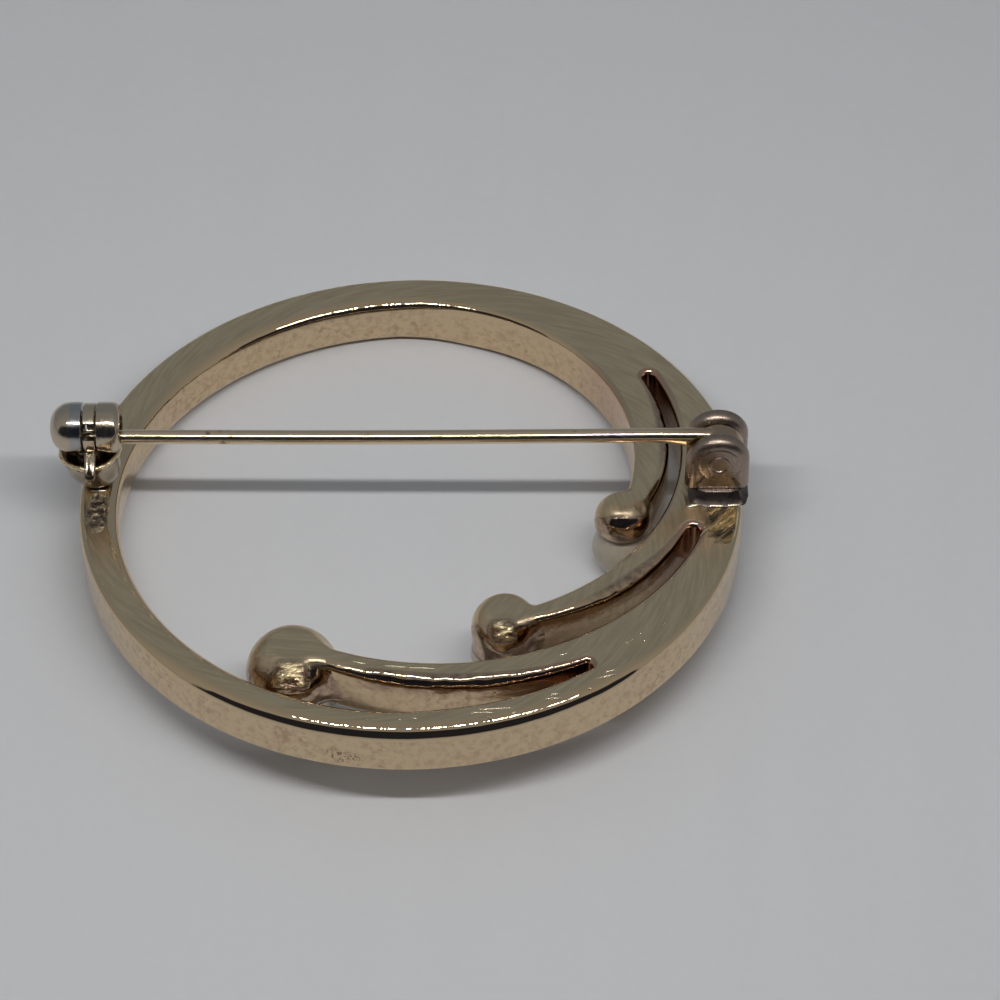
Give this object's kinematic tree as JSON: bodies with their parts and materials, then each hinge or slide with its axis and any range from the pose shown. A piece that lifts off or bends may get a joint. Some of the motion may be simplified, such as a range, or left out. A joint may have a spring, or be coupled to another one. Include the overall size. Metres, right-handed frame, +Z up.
{
  "type": "circle brooch",
  "caption": "Round openwork brooch lying on its front, with graduated pearls on curved stems, a hinged pin and a turning safety catch.",
  "frame": {"origin": "middle of the brooch's outline, on the table it lies on", "axes": "+X from the catch towards the hinge, +Y across the ring to its far side, +Z up, out of the back"},
  "size_m": [0.0366, 0.035, 0.0091],
  "materials": {
    "satin_gold": "satin back, polished walls and edges",
    "pearl": "lustrous cream",
    "hinge_metal": "dull with age",
    "pin_wire": "polished wire",
    "catch_metal": "plated, a little worn"
  },
  "bodies": {
    "brooch": {"frame": "satin_gold", "pearl_small": "pearl", "pearl_medium": "pearl", "pearl_large": "pearl", "hinge_rivet": "hinge_metal"},
    "pin": {"pin_stem": "pin_wire"},
    "roller": {"catch_roller": "catch_metal"}
  },
  "joints": [
    {"name": "pin_swing", "type": "hinge", "parent": "brooch", "child": "pin", "pos_m": [0.01671, 0.00111, 0.00691], "axis": [0.0008, 0.996, -0.0898], "range_deg": [0, 120]},
    {"name": "catch_turn", "type": "hinge", "parent": "brooch", "child": "roller", "pos_m": [-0.01621, 0.00144, 0.00773], "axis": [-0.9999, -0.0008, -0.017], "range_deg": [0, 130]}
  ]
}
